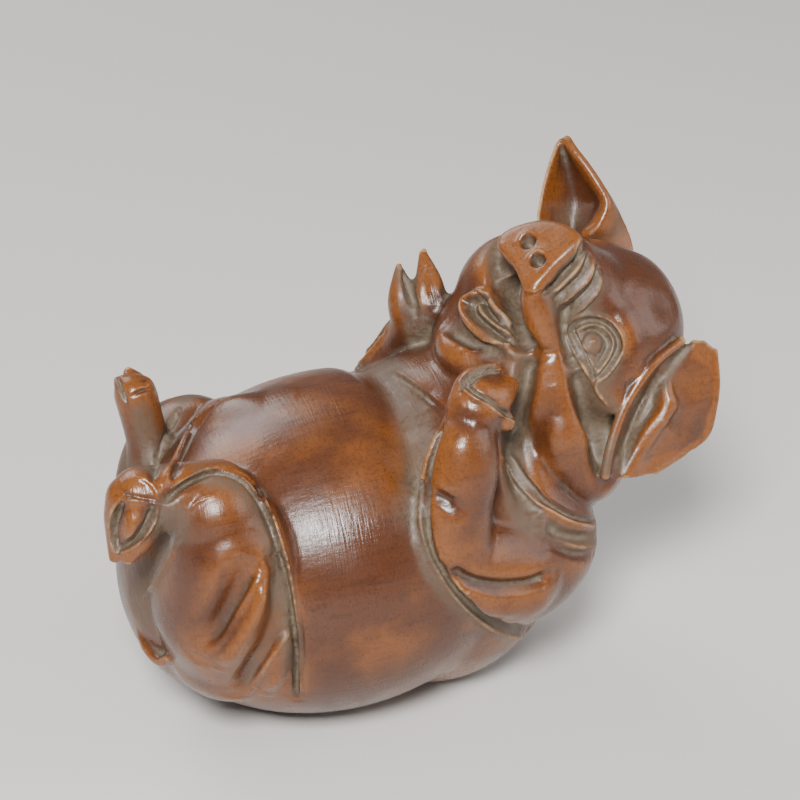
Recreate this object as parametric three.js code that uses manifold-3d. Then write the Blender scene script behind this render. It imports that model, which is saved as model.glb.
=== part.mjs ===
// A fat pig carved from one block of boxwood. It lies on its back with its head lifted and rolled
// towards one side, its feet in the air and a forefoot tucked against its cheek.
// Millimetres, +Z up. The hind feet are at -X, the head is at +X, and the pig's left side, the side that
// shows best, is at -Y. The origin is on the table, below the middle of the belly.

import * as THREE from 'three';
import { mergeVertices } from 'three/addons/utils/BufferGeometryUtils.js';
import Module from 'manifold-3d';

// Driving dimensions

const figureLength = 80; // from the hind feet to the back of the head
const drawnLength = 80; // the length at which the places and radii of the free forms below are written
const share = figureLength / drawnLength;

const restingFlat = 0.8; // height planed off the round back, so that the figure stands still

const earThickness = 2;
const noseDiscDepth = 2.2;
const noseDiscRim = 0.6;
const nostrilRadius = 1.2;
const nostrilDepth = 2.4;
const wrinkleRadius = 0.8;
const eyeballRadius = 1.5;
const eyeHollowDepth = 1.3;
const lidRadius = 0.75;
const lowerLidRadius = 0.6;
const lipRadius = 1.3;
const tongueRadius = 0.8;
const mouthGape = 1.5;
const mouthDepth = 2.6;
const creaseRadius = 0.8; // half the width of the carved lines between the folds of fat
const thighLineRadius = 0.7;
const cleftWidth = 0.9; // between the two toes of a foot
const soleHollowDepth = 0.9;
const dewclawRadius = 1.4;
const tailRadius = 1;

const wood = new THREE.MeshStandardMaterial( { color: 0x8a4a24, roughness: 0.35, metalness: 0 } );

const wasm = await Module();
wasm.setup();

// The head has its own axes: f runs out along the snout, l to the pig's left and u to its crown.

const skullCentre = new THREE.Vector3( 38.4, 0, 48.7 ).multiplyScalar( share );
const snoutWay = new THREE.Vector3( - 0.511, - 0.3106, 0.8015 ).normalize();
const leftWay = new THREE.Vector3( 0.0787, - 0.9454, - 0.3162 );
leftWay.addScaledVector( snoutWay, - leftWay.dot( snoutWay ) ).normalize();
const crownWay = new THREE.Vector3().crossVectors( snoutWay, leftWay );
const onHead = new THREE.Matrix4().makeBasis( snoutWay, leftWay, crownWay ).setPosition( skullCentre );
const onBody = new THREE.Matrix4();

// Free forms: every one is a sphere whose points are moved, so each is closed and round

function place( [ x, y, z ] ) {

	return new THREE.Vector3( x, y, z ).multiplyScalar( share );

}

function solid( geometry ) {

	geometry.deleteAttribute( 'normal' );
	geometry.deleteAttribute( 'uv' );
	const merged = mergeVertices( geometry, 1e-5 );
	const vertProperties = Float32Array.from( merged.attributes.position.array );
	const triVerts = Uint32Array.from( merged.index.array );
	return new wasm.Manifold( new wasm.Mesh( { numProp: 3, vertProperties, triVerts } ) );

}

function movedSphere( sides, rings, move ) {

	const sphere = new THREE.SphereGeometry( 1, sides, rings );
	const points = sphere.attributes.position;
	const point = new THREE.Vector3();
	for ( let i = 0; i < points.count; i ++ ) {

		point.fromBufferAttribute( points, i );
		move( point );
		points.setXYZ( i, point.x, point.y, point.z );

	}

	return solid( sphere );

}

function curveThrough( points ) {

	return new THREE.CatmullRomCurve3( points, false, 'catmullrom', 0.5 );

}

// An egg: radii along its own axes, then turned about X, Y and Z in degrees

function egg( centre, radii, turn = [ 0, 0, 0 ], frame = onBody, sides = 11 ) {

	const middle = place( centre );
	const size = place( radii );
	const angles = turn.map( THREE.MathUtils.degToRad );
	const turned = new THREE.Euler( ...angles, 'ZYX' );
	const rings = Math.round( sides * 0.7 );
	return movedSphere( sides, rings, ( point ) => {

		point.multiply( size ).applyEuler( turned ).add( middle ).applyMatrix4( frame );

	} );

}

// A limb: a round bar with dome ends along a curve. Each station is x, y, z and a radius.
// A carved detail has one radius all along instead.

const domeShare = 0.14;

function limb( stations, options = {} ) {

	const { side = [ 0, 1, 0 ], flat = 1, frame = onBody, sides = 8, rings = 7, radius } = options;
	const path = curveThrough( stations.map( place ) );
	const radii = stations.map( ( s ) => radius ?? s[ 3 ] * share );
	const widths = curveThrough( radii.map( ( value ) => new THREE.Vector3( value, 0, 0 ) ) );
	const sideWay = new THREE.Vector3( ...side );
	return movedSphere( sides, rings, ( point ) => {

		const fall = Math.acos( THREE.MathUtils.clamp( point.y, - 1, 1 ) ) / Math.PI;
		const around = Math.atan2( point.z, point.x );
		const t = THREE.MathUtils.clamp( ( fall - domeShare ) / ( 1 - 2 * domeShare ), 0, 1 );
		const past = Math.max( 0, domeShare - fall, fall - 1 + domeShare ) / domeShare * Math.PI / 2;
		const end = fall < 0.5 ? - 1 : 1;
		const width = widths.getPoint( t ).x;
		const along = path.getTangent( t );
		const across = sideWay.clone().addScaledVector( along, - sideWay.dot( along ) ).normalize();
		const other = new THREE.Vector3().crossVectors( along, across );
		const ring = width * Math.cos( past );
		point.copy( path.getPoint( t ) );
		point.addScaledVector( across, - ring * Math.cos( around ) );
		point.addScaledVector( other, - ring * flat * Math.sin( around ) );
		point.addScaledVector( along, end * width * Math.sin( past ) );
		point.applyMatrix4( frame );

	} );

}

// A groove cut with a V-shaped gouge: a four-sided bar laid along the surface, to be cut away

function groove( stations, radius, frame = onBody ) {

	return limb( stations, { radius, frame, sides: 4, rings: 3 + stations.length } );

}

// A ridge of even width left standing on the surface

function ridge( stations, radius, frame = onBody ) {

	return limb( stations, { radius, frame, sides: 5, rings: 3 + Math.ceil( 1.2 * stations.length ) } );

}

// A leaf: a curved slab with rounded edges. Rows run along it, and each row's points run across it.

const edgeShare = 0.08;

function leaf( rows, thickness, frame ) {

	const columns = rows[ 0 ].map( ( _, j ) => curveThrough( rows.map( ( row ) => place( row[ j ] ) ) ) );
	const sheet = ( t, v ) => curveThrough( columns.map( ( column ) => column.getPoint( t ) ) ).getPoint( v );
	const clamp = ( value ) => THREE.MathUtils.clamp( value, 0, 1 );
	const step = 0.02;
	return movedSphere( 11, 11, ( point ) => {

		const fall = Math.acos( THREE.MathUtils.clamp( point.y, - 1, 1 ) ) / Math.PI;
		const around = Math.atan2( point.z, point.x );
		const t = clamp( ( fall - edgeShare ) / ( 1 - 2 * edgeShare ) );
		const past = Math.max( 0, edgeShare - fall, fall - 1 + edgeShare ) / edgeShare;
		const fullness = Math.sqrt( Math.max( 0, 1 - past * past ) );
		const v = 0.5 - 0.5 * Math.cos( around ) * fullness;
		const downTheLeaf = sheet( clamp( t + step ), v ).sub( sheet( clamp( t - step ), v ) );
		const acrossTheLeaf = sheet( t, clamp( v + step ) ).sub( sheet( t, clamp( v - step ) ) );
		const outOfTheLeaf = new THREE.Vector3().crossVectors( downTheLeaf, acrossTheLeaf ).normalize();
		point.copy( sheet( t, v ) );
		point.addScaledVector( outOfTheLeaf, - thickness / 2 * Math.sin( around ) * fullness );
		point.applyMatrix4( frame );

	} );

}

function mirrored( stations ) {

	return stations.map( ( [ x, y, ...rest ] ) => [ x, - y, ...rest ] );

}

const bothSides = ( stations ) => [ stations, mirrored( stations ) ];

// Body: belly, chest, rump, neck and the broad back on which it lies

function body() {

	return [
		egg( [ 0.5, 0, 22.5 ], [ 28.5, 23.5, 22.5 ], [ 0, - 8, 0 ], onBody, 18 ),
		egg( [ 18, 0, 29 ], [ 18, 18.5, 18 ], [ 0, - 20, 0 ], onBody, 14 ),
		egg( [ 14, 0, 21.5 ], [ 19, 19, 22 ], [ 0, 0, 0 ], onBody, 14 ),
		egg( [ - 15, 0, 21 ], [ 13.5, 17, 17.5 ], [ 0, 0, 0 ], onBody, 14 ),
		egg( [ 30, 1, 33 ], [ 12, 13, 13 ], [ 0, 0, 0 ], onBody, 13 ),
		egg( [ 21, - 12.5, 24 ], [ 13, 8.5, 11 ], [ 0, - 20, 0 ] ),
		egg( [ 21, 12.5, 24 ], [ 13, 8.5, 11 ], [ 0, - 20, 0 ] ),
	];

}

// Hind legs: fat thighs folded against the belly, short shanks, and feet in the air

function hindLegs() {

	const nearThigh = [
		[ - 15.5, - 9.5, 17.5, 9.5 ], [ - 15.8, - 12, 25, 10.8 ],
		[ - 16.8, - 14, 33, 8.6 ], [ - 18.2, - 13.8, 38.5, 5.8 ],
	];
	const nearShank = [ [ - 18, - 11, 38, 6 ], [ - 23, - 12.5, 41, 4.5 ], [ - 27.5, - 12.5, 42.4, 3.5 ] ];
	const farShank = [
		[ - 16, 9, 28, 6 ], [ - 20.5, 9, 32.5, 4.2 ], [ - 21.6, 10, 37, 2.9 ], [ - 22.6, 11, 43, 2.9 ],
	];
	return [
		limb( nearThigh, { sides: 13, rings: 10 } ),
		egg( [ - 15, 12, 24 ], [ 11, 9.5, 15 ], [ - 20, 0, 0 ], onBody, 13 ),
		limb( nearShank ),
		limb( farShank ),
	];

}

const footToes = {
	nearHind: [
		[ [ - 27.6, - 13.2, 42, 2.9 ], [ - 28, - 14.5, 38.6, 2.6 ], [ - 29.8, - 15, 34.9, 0.9 ] ],
		[ [ - 28.8, - 12.2, 42, 2.9 ], [ - 29.6, - 12.4, 38.4, 2.6 ], [ - 31.2, - 13.4, 34.4, 0.9 ] ],
	],
	farHind: [
		[ [ - 22.9, 10.3, 42.6, 2.2 ], [ - 23.8, 11.2, 45, 1.6 ], [ - 24.7, 12, 47, 0.6 ] ],
		[ [ - 21.9, 12, 42.6, 2.2 ], [ - 22.2, 13.2, 45, 1.6 ], [ - 22.8, 14.2, 46.8, 0.6 ] ],
	],
	nearFore: [
		[ [ 14.2, - 15.8, 49.6, 2.7 ], [ 15.4, - 14.4, 51.8, 2 ], [ 18.7, - 13.3, 52.6, 0.9 ] ],
		[ [ 15.4, - 16.6, 48.8, 3 ], [ 18, - 15.8, 50, 2.4 ], [ 21.2, - 13.9, 50.4, 1 ] ],
	],
	farFore: [
		[ [ 15.6, 12.4, 46.4, 2.3 ], [ 14.9, 13, 50, 2 ], [ 15.3, 15.2, 53.8, 0.7 ] ],
		[ [ 17, 11.4, 46.6, 2.5 ], [ 18.3, 11.6, 51, 2.3 ], [ 18.6, 15, 55.5, 0.7 ] ],
	],
};

// Forelegs: bent at the elbow and raised. The near one lies against the cheek
// and has a small claw behind its toes.

const dewclawPlace = [ 18.9, - 17.6, 47.2 ];

function foreLegs() {

	const [ x, y, z ] = dewclawPlace;
	const nearArm = [
		[ 20, - 15, 24, 8 ], [ 12, - 18, 29, 6.2 ], [ 11.5, - 18.5, 36, 5 ],
		[ 13, - 18, 43, 4.6 ], [ 14.2, - 16.5, 48, 3.2 ], [ 15.5, - 15.8, 50, 3 ],
	];
	const farArm = [
		[ 20, 14, 24, 8 ], [ 14, 16, 30, 6 ], [ 14, 16, 36, 5 ],
		[ 15.5, 14.3, 42, 3.5 ], [ 16.3, 12.6, 46, 3.2 ],
	];
	return [
		limb( nearArm, { sides: 10, rings: 14 } ),
		limb( farArm, { sides: 8, rings: 10 } ),
		limb( [ [ x, y, z ], [ x, y, z + 0.1 ] ], { radius: dewclawRadius, sides: 7, rings: 5 } ),
	];

}

function toes() {

	return Object.values( footToes ).flat().map( ( toe ) => limb( toe, { sides: 7, rings: 6 } ) );

}

// The hollow sole of the hind foot that is turned to the side

const solePlace = [ - 31, - 16, 38.6 ];
const soleSize = [ 1.9, 1.6, 3.2 ];
const soleTurn = [ 12, 0, - 35 ];

function soleHollow() {

	const [ length, depth, height ] = soleSize;
	return egg( solePlace, [ length, depth + soleHollowDepth / share, height ], soleTurn, onBody, 8 );

}

// Head: skull, heavy jaw and jowls, and a snout that ends in a flat disc

function headMasses() {

	const jowl = ( l ) => egg( [ - 4.6, l, - 11.3 ], [ 7.5, 10, 7 ], [ 0, 0, 0 ], onHead );
	const lip = [
		[ 17, 3.2, - 3, 2.4 ], [ 14, 5, - 4, 2.8 ], [ 11, 6.3, - 5.5, 2.4 ], [ 8, 8, - 7, 2.6 ], [ 3, 10, - 9.5, 5 ],
	];
	const snout = [ [ 5, 0, 0, 8 ], [ 10.5, 0, 0, 6.3 ], [ 14.6, 0, 0, 4.9 ] ];
	const chin = [ [ 8, - 7.5, - 16.5, 2 ], [ 10.6, - 0.5, - 17.4, 2.8 ], [ 9.6, 6, - 15, 2.2 ] ];
	return [
		egg( [ 0, 0, 0 ], [ 11, 12, 11 ], [ 0, 0, 0 ], onHead, 14 ),
		egg( [ 3, 0, - 9 ], [ 11, 14.5, 14.5 ], [ 0, 0, 0 ], onHead, 15 ),
		jowl( 9.8 ),
		jowl( - 9.8 ),
		...bothSides( lip ).map( ( stations ) => limb( stations, { frame: onHead, rings: 10 } ) ),
		limb( snout, { side: [ 0, 0, 1 ], frame: onHead, sides: 14 } ),
		limb( chin, { side: [ 0, 0, 1 ], frame: onHead } ),
	];

}

// The disc is a rounded triangle, wide on the side of the mouth

const discOutline = [
	[ - 5.2, - 4.1 ], [ - 4.8, 0.6 ], [ - 1.6, 4.3 ], [ 1.9, 5 ], [ 4.8, 1 ], [ 4.3, - 3.9 ], [ 0, - 5 ],
];
const discPlace = 20.4;

function noseDisc() {

	const corners = discOutline.map( ( [ l, u ] ) => new THREE.Vector3( l, u, 0 ).multiplyScalar( share ) );
	const rounded = new THREE.CatmullRomCurve3( corners, true, 'catmullrom', 0.5 );
	const edge = rounded.getPoints( 16 ).slice( 1 ).map( ( p ) => new THREE.Vector2( p.x, p.y ) );
	const outline = new THREE.Shape( edge );
	const disc = new THREE.ExtrudeGeometry( outline, {
		depth: noseDiscDepth - 2 * noseDiscRim,
		bevelThickness: noseDiscRim,
		bevelSize: noseDiscRim,
		bevelOffset: - noseDiscRim,
		bevelSegments: 1,
	} );
	const facingOut = new THREE.Matrix4().makeBasis( leftWay, crownWay, snoutWay );
	const backOfDisc = discPlace * share - noseDiscDepth + noseDiscRim;
	facingOut.setPosition( new THREE.Vector3( backOfDisc, 0, 0 ).applyMatrix4( onHead ) );
	disc.applyMatrix4( facingOut );
	return solid( disc );

}

function nostrils() {

	const hole = ( l ) => limb(
		[ [ discPlace + 1, l, - 0.7, 1 ], [ discPlace - nostrilDepth / share + nostrilRadius, l, - 0.7, 1 ] ],
		{ radius: nostrilRadius, frame: onHead, sides: 8, rings: 6 } );
	return [ hole( - 2.5 ), hole( 1.3 ) ];

}

// Wrinkles: rings of skin pushed up behind the disc, open on the side of the mouth

function wrinkles() {

	const rings = [ { f: 17.3, radius: 4.7 }, { f: 15.2, radius: 5.2 }, { f: 12.9, radius: 5.9 } ];
	const turns = [ - 35, 13, 61, 109, 157, 205 ].map( THREE.MathUtils.degToRad );
	return rings.map( ( { f, radius } ) => {

		const stations = turns.map( ( a ) => [ f - Math.cos( a ), Math.cos( a ) * radius, Math.sin( a ) * radius ] );
		return ridge( stations, wrinkleRadius, onHead );

	} );

}

// Eyes: a ball in an almond hollow, with a heavy lid over it.
// Points around an eye are p towards the crown, q towards the snout and h out of the face.

const eyePlace = new THREE.Vector3( 8.9, 8.1, - 1.6 );
const eyeOut = new THREE.Vector3( 0.686, 0.54, 0.487 ).normalize();
const eyeUp = new THREE.Vector3( - 0.39, 0.37, 0.84 );
eyeUp.addScaledVector( eyeOut, - eyeUp.dot( eyeOut ) ).normalize();
const eyeFore = new THREE.Vector3().crossVectors( eyeOut, eyeUp );
const faceRadius = 13;

function byTheEye( [ p, q, h = 0 ], side ) {

	const fallOff = ( p * p + q * q ) / ( 2 * faceRadius );
	const point = eyePlace.clone().addScaledVector( eyeUp, p ).addScaledVector( eyeFore, q );
	point.addScaledVector( eyeOut, h - fallOff );
	return [ point.x, point.y * side, point.z ];

}

const upperLid = [
	[ - 3, 1.6 ], [ - 1.2, 3 ], [ 1.4, 2.9 ], [ 3, 1 ], [ 2.9, - 1.2 ], [ 1.7, - 3.1 ], [ 0.3, - 4.9 ],
];
const lowerLid = [ [ - 3, 1.6 ], [ - 1.9, - 1.1 ], [ - 0.6, - 3.2 ], [ 0.3, - 4.9 ] ];
const eyeSlit = [ [ - 2.6, 1.5, 0.2 ], [ 0.1, 0, 0.2 ], [ 0.3, - 3.6, 0.2 ] ];

function eyeHollows() {

	return [ 1, - 1 ].map( ( side ) => {

		const stations = eyeSlit.map( ( p ) => byTheEye( p, side ) );
		const widths = [ 0.9, 2.1, 0.7 ];
		const open = stations.map( ( s, i ) => [ ...s, widths[ i ] ] );
		return limb( open, { frame: onHead, sides: 8, rings: 8, flat: eyeHollowDepth / 1.5 } );

	} );

}

function eyes() {

	return [ 1, - 1 ].flatMap( ( side ) => {

		const ball = byTheEye( [ 0, 0, - 0.5 ], side );
		return [
			limb( [ [ ...ball, 1 ], [ ball[ 0 ] + 0.1, ball[ 1 ], ball[ 2 ], 1 ] ],
				{ radius: eyeballRadius, frame: onHead, sides: 8, rings: 6 } ),
			ridge( upperLid.map( ( p ) => byTheEye( p, side ) ), lidRadius, onHead ),
			ridge( lowerLid.map( ( p ) => byTheEye( p, side ) ), lowerLidRadius, onHead ),
		];

	} );

}

// Mouth: open a little below the disc, with a full lower lip and the tongue behind it

const lowerLip = [
	[ 11.9, - 6.8, - 12.8 ], [ 13, - 4.4, - 13.2 ], [ 13.5, - 0.6, - 12.7 ],
	[ 13.5, 3.1, - 11.4 ], [ 13, 5.3, - 10 ],
];
const tongueLine = [ [ 12.6, - 3.6, - 11.6 ], [ 13.3, 0, - 11.2 ], [ 13.2, 3.4, - 10 ] ];
const mouthSlit = [ [ 13.4, - 5.2, - 11.2 ], [ 14.2, - 1.6, - 10.6 ], [ 14.2, 2.6, - 9.6 ] ];

function mouthHollow() {

	const flat = mouthDepth / mouthGape;
	return limb( mouthSlit, { radius: mouthGape, flat, side: [ 0, 0, 1 ], frame: onHead } );

}

function lipAndTongue() {

	return [ ridge( lowerLip, lipRadius, onHead ), ridge( tongueLine, tongueRadius, onHead ) ];

}

// Ears: the near one is laid back with a folded front edge, the far one stands up with a curled rim

function ears() {

	const nearEar = [
		[ [ - 3, 7, 8.4 ], [ - 7.4, 5, 8.8 ], [ - 7, 5.8, 9.8 ], [ - 7.6, 5.2, 11.3 ] ],
		[ [ 2.2, 11.7, 3.1 ], [ - 5, 8, 3.6 ], [ - 6.1, 8.8, 4.6 ], [ - 11.4, 8.2, 10.8 ] ],
		[ [ - 0.5, 13, - 2.6 ], [ - 6, 10.6, - 1.4 ], [ - 5.7, 13.5, 2.6 ], [ - 15, 12.2, 7.6 ] ],
		[ [ - 0.7, 16.5, - 6.4 ], [ - 6.6, 13.2, - 5.6 ], [ - 6.3, 16.2, - 2.6 ], [ - 16, 14.6, 2.8 ] ],
		[ [ - 1, 19, - 10 ], [ - 6, 16.8, - 9.6 ], [ - 7.7, 18, - 6.8 ], [ - 12.6, 17, - 5 ] ],
	];
	const farEar = [
		[ [ 0, - 11, - 4 ], [ - 3, - 10, 0 ], [ - 2, - 8, 2 ], [ - 6, - 8, 5 ] ],
		[ [ 0.8, - 16.4, - 2.3 ], [ - 4.2, - 16, 1.3 ], [ - 0.9, - 12.2, 4.5 ], [ - 6.7, - 12, 8.4 ] ],
		[ [ 3.3, - 19.1, 0.5 ], [ - 1.9, - 20.3, 4 ], [ 1.3, - 13.5, 7.4 ], [ - 3.7, - 14.8, 9.8 ] ],
		[ [ 5.3, - 20.5, 2.6 ], [ 0.7, - 21.6, 6.3 ], [ 2.7, - 14.8, 9.5 ], [ 0, - 16.3, 10 ] ],
		[ [ 6.5, - 22.5, 5 ], [ 3.6, - 23.1, 7.5 ], [ 4.6, - 19.9, 9.9 ], [ 3.6, - 20.3, 10.2 ] ],
		[ [ 7.6, - 24.4, 8 ], [ 7, - 24.6, 8.6 ], [ 6.8, - 24, 9.2 ], [ 6.6, - 24, 9.4 ] ],
	];
	return [ leaf( nearEar, earThickness, onHead ), leaf( farEar, earThickness, onHead ) ];

}

// Carved lines: the folds of fat on the thighs, shoulders, neck, cheeks and chin

function carvedLines() {

	const thigh = [
		[ - 18.4, - 12.3, 44.1 ], [ - 14.6, - 12.3, 42.6 ], [ - 12.5, - 16.1, 39.3 ], [ - 12, - 19.4, 36.1 ],
		[ - 11.3, - 20.4, 32.8 ], [ - 10.5, - 20.9, 27.7 ], [ - 10.2, - 21.7, 22.8 ], [ - 9.4, - 18.9, 11.3 ],
	];
	const thighFolds = [
		[ [ - 16.9, - 21.4, 35.8 ], [ - 18.6, - 22.2, 28.1 ], [ - 21, - 21.2, 24.7 ] ],
		[ [ - 13.7, - 21.7, 33.4 ], [ - 13.3, - 22.2, 27.6 ], [ - 15.1, - 20.7, 18.3 ], [ - 16.3, - 16.5, 12 ] ],
	];
	const folds = [
		[ [ 9, - 2, 44.4 ], [ 7.1, - 10.2, 42.5 ], [ 6.2, - 17, 37.7 ] ],
		[ [ 10, - 23.8, 28.3 ], [ 16.2, - 23.3, 25.8 ], [ 22.8, - 22, 24 ] ],
		[ [ 8.4, - 22.4, 27.1 ], [ 11, - 20.6, 20 ], [ 15.9, - 17.2, 14 ], [ 24, - 14, 12 ] ],
		[
			[ 22.7, - 12, 43.6 ], [ 25.1, - 15.3, 36 ], [ 27.3, - 17, 32.3 ],
			[ 32.1, - 15.6, 28.5 ], [ 38, - 10, 25.5 ],
		],
		[ [ 24.2, - 19.2, 30.1 ], [ 26, - 19.9, 26.8 ], [ 29.9, - 17.9, 21.8 ], [ 35, - 11.5, 20.6 ] ],
	];
	const cheek = [ [ 14.4, 7.8, - 4.2 ], [ 8.4, 12.5, - 7 ], [ 0.5, 16.5, - 9.3 ], [ - 1.6, 18.6, - 9.6 ] ];
	const chinFold = [
		[ 10.4, - 7, - 17 ], [ 11.6, - 3.5, - 16.4 ], [ 12.4, 0.6, - 15.4 ],
		[ 12.5, 5, - 13.2 ], [ 11.8, 8.6, - 10.4 ],
	];
	const mouthCorner = [ [ 13.3, 5, - 10.1 ], [ 12.2, 7.7, - 10.8 ], [ 10.3, 10.4, - 11.6 ] ];
	return [
		...bothSides( thigh ).map( ( stations ) => groove( stations, thighLineRadius ) ),
		...thighFolds.map( ( stations ) => groove( stations, creaseRadius ) ),
		...folds.flatMap( bothSides ).map( ( stations ) => groove( stations, creaseRadius ) ),
		...bothSides( cheek ).map( ( stations ) => groove( stations, creaseRadius, onHead ) ),
		...bothSides( mouthCorner ).map( ( stations ) => groove( stations, creaseRadius, onHead ) ),
		groove( chinFold, creaseRadius, onHead ),
	];

}

function tail() {

	const curl = [ [ - 28, - 4, 18 ], [ - 27.6, - 7.4, 16 ], [ - 25.6, - 9.6, 14 ], [ - 25, - 8, 12.4 ] ];
	return ridge( curl, tailRadius );

}

// The clefts between the toes: a thin blade along the middle of each foot

const bladeFlat = 8;

function clefts() {

	return Object.values( footToes ).map( ( [ one, other ] ) => {

		const [ ones, others ] = [ one, other ].map( ( toe ) => toe.map( ( s ) => new THREE.Vector3( ...s ) ) );
		const blade = ones.slice( 1 ).map( ( p, i ) => p.clone().lerp( others[ i + 1 ], 0.5 ).toArray() );
		const across = others[ 1 ].clone().sub( ones[ 1 ] ).normalize().toArray();
		const radius = cleftWidth / 2;
		return limb( blade, { radius, flat: bladeFlat, side: across, sides: 6, rings: 6 } );

	} );

}

const tableSide = 5 * figureLength;
const tableBlock = new THREE.BoxGeometry( tableSide, tableSide, figureLength );
tableBlock.translate( 0, 0, - figureLength / 2 );

const join = ( pieces ) => pieces.reduce( ( whole, piece ) => whole.add( piece ) );

const masses = join( [ ...body(), ...hindLegs(), ...foreLegs(), ...toes(), ...headMasses() ] );
const carved = masses
	.subtract( join( carvedLines() ) )
	.subtract( join( [ mouthHollow(), ...eyeHollows(), ...clefts(), soleHollow() ] ) );
const whole = join( [ carved, noseDisc(), ...wrinkles(), ...eyes(), ...lipAndTongue(), ...ears(), tail() ] )
	.subtract( join( nostrils() ) )
	.translate( [ 0, 0, - restingFlat ] )
	.subtract( solid( tableBlock ) );

// Chips that the carving leaves loose fall away
const [ figure ] = whole.decompose().sort( ( one, other ) => other.volume() - one.volume() );

function meshOf( piece, name, material ) {

	const { vertProperties, triVerts } = piece.getMesh();
	const geometry = new THREE.BufferGeometry();
	geometry.setAttribute( 'position', new THREE.BufferAttribute( vertProperties, 3 ) );
	geometry.setIndex( new THREE.BufferAttribute( triVerts, 1 ) );
	geometry.computeVertexNormals();
	const mesh = new THREE.Mesh( geometry, material );
	mesh.name = name;
	return mesh;

}

const pig = new THREE.Group();
pig.add( meshOf( figure, 'boxwood_pig', wood ) );

export default pig;
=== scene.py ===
"""A fat pig carved from one block of boxwood, lying on its back with its feet in the air."""
import math
import bpy
import bmesh
import numpy as np
from mathutils import Matrix, Vector
from mathutils.bvhtree import BVHTree
from mathutils.kdtree import KDTree


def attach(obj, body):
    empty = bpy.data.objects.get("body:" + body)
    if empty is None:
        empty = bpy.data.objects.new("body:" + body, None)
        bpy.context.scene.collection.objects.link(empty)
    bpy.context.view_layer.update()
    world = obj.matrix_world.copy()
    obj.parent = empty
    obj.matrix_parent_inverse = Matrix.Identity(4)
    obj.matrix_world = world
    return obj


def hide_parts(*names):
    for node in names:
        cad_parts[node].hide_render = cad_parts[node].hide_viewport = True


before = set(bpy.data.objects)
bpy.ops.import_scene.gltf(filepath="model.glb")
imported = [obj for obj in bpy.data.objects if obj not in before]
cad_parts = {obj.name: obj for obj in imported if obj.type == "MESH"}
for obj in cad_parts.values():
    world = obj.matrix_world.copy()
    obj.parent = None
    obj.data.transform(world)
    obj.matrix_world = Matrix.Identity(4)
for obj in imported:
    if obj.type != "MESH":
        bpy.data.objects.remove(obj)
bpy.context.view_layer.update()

# Camera
# It looks down at the pig's left side from a little towards its tail, as the photograph does.
# Lengths are in millimetres here and below, unless a line says metres, and MM brings them to metres.

MM = 0.001
PHOTO_SIDE = 800
RESTING_FLAT = 0.8
CAMERA_TURN = math.radians(-18)
CAMERA_RISE = math.radians(30)
CAMERA_DISTANCE = 330
CAMERA_TARGET = Vector((10.4, 0, 42.2 - RESTING_FLAT))
PIXELS_PER_MM = 7.6
SENSOR = 36
NEAREST_SEEN = 10 * MM

camera_right = Vector((math.cos(CAMERA_TURN), math.sin(CAMERA_TURN), 0))
camera_back = Vector((
    math.sin(CAMERA_TURN) * math.cos(CAMERA_RISE),
    -math.cos(CAMERA_TURN) * math.cos(CAMERA_RISE),
    math.sin(CAMERA_RISE),
))
camera_up = camera_back.cross(camera_right)
camera_eye = CAMERA_TARGET + camera_back * CAMERA_DISTANCE
focal_pixels = PIXELS_PER_MM * CAMERA_DISTANCE

camera_data = bpy.data.cameras.new("camera")
camera_data.sensor_width = SENSOR
camera_data.lens = SENSOR * focal_pixels / PHOTO_SIDE
camera_data.clip_start = NEAREST_SEEN
camera = bpy.data.objects.new("camera", camera_data)
camera_axes = Matrix((camera_right, camera_up, camera_back)).transposed().to_4x4()
camera.matrix_world = Matrix.Translation(camera_eye * MM) @ camera_axes
bpy.context.scene.collection.objects.link(camera)
bpy.context.scene.camera = camera


def photo_ray(pixel):
    """The direction from the camera's eye through a pixel of the photograph."""
    half = PHOTO_SIDE / 2
    across = camera_right * ((pixel[0] - half) / focal_pixels)
    upward = camera_up * ((half - pixel[1]) / focal_pixels)
    return (across + upward - camera_back).normalized()


# Table
# A plain pale board that the figure lies on. It isn't part of the figure.
# Its side is in metres.

TABLE_SIDE = 3.0
TABLE_COLOUR = (0.62, 0.60, 0.57, 1)
TABLE_ROUGHNESS = 0.75

table_form = bmesh.new()
bmesh.ops.create_grid(table_form, x_segments=1, y_segments=1, size=TABLE_SIDE / 2)
table_mesh = bpy.data.meshes.new("table")
table_form.to_mesh(table_mesh)
table_form.free()
table = bpy.data.objects.new("table", table_mesh)
bpy.context.scene.collection.objects.link(table)
table_paint = bpy.data.materials.new("table_paint")
table_paint.use_nodes = True
table_shader = table_paint.node_tree.nodes["Principled BSDF"]
table_shader.inputs["Base Color"].default_value = TABLE_COLOUR
table_shader.inputs["Roughness"].default_value = TABLE_ROUGHNESS
table.data.materials.append(table_paint)

# Lights
# A soft box above the camera's left shoulder, a wide fill from the right and a faint rim from behind.
# Their places and sides are in metres, their power in watts.

LIGHTS = {
    "key": {"place": (-0.16, -0.36, 0.42), "side": 0.14, "power": 6.0},
    "fill": {"place": (0.50, -0.20, 0.30), "side": 0.45, "power": 1.6},
    "rim": {"place": (-0.20, 0.50, 0.45), "side": 0.40, "power": 2.6},
}
LIGHT_TARGET = Vector((0.008, 0, 0.03))
ROOM_LIGHT = (0.24, 0.24, 0.25, 1)

for name, light in LIGHTS.items():
    lamp = bpy.data.lights.new(name, "AREA")
    lamp.shape = "SQUARE"
    lamp.size = light["side"]
    lamp.energy = light["power"]
    holder = bpy.data.objects.new(name, lamp)
    holder.location = light["place"]
    aim = LIGHT_TARGET - Vector(light["place"])
    holder.rotation_mode = "QUATERNION"
    holder.rotation_quaternion = aim.to_track_quat("-Z", "Y")
    bpy.context.scene.collection.objects.link(holder)

room = bpy.data.worlds.new("room")
room.use_nodes = True
room.node_tree.nodes["Background"].inputs["Color"].default_value = ROOM_LIGHT
bpy.context.scene.world = room

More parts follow.
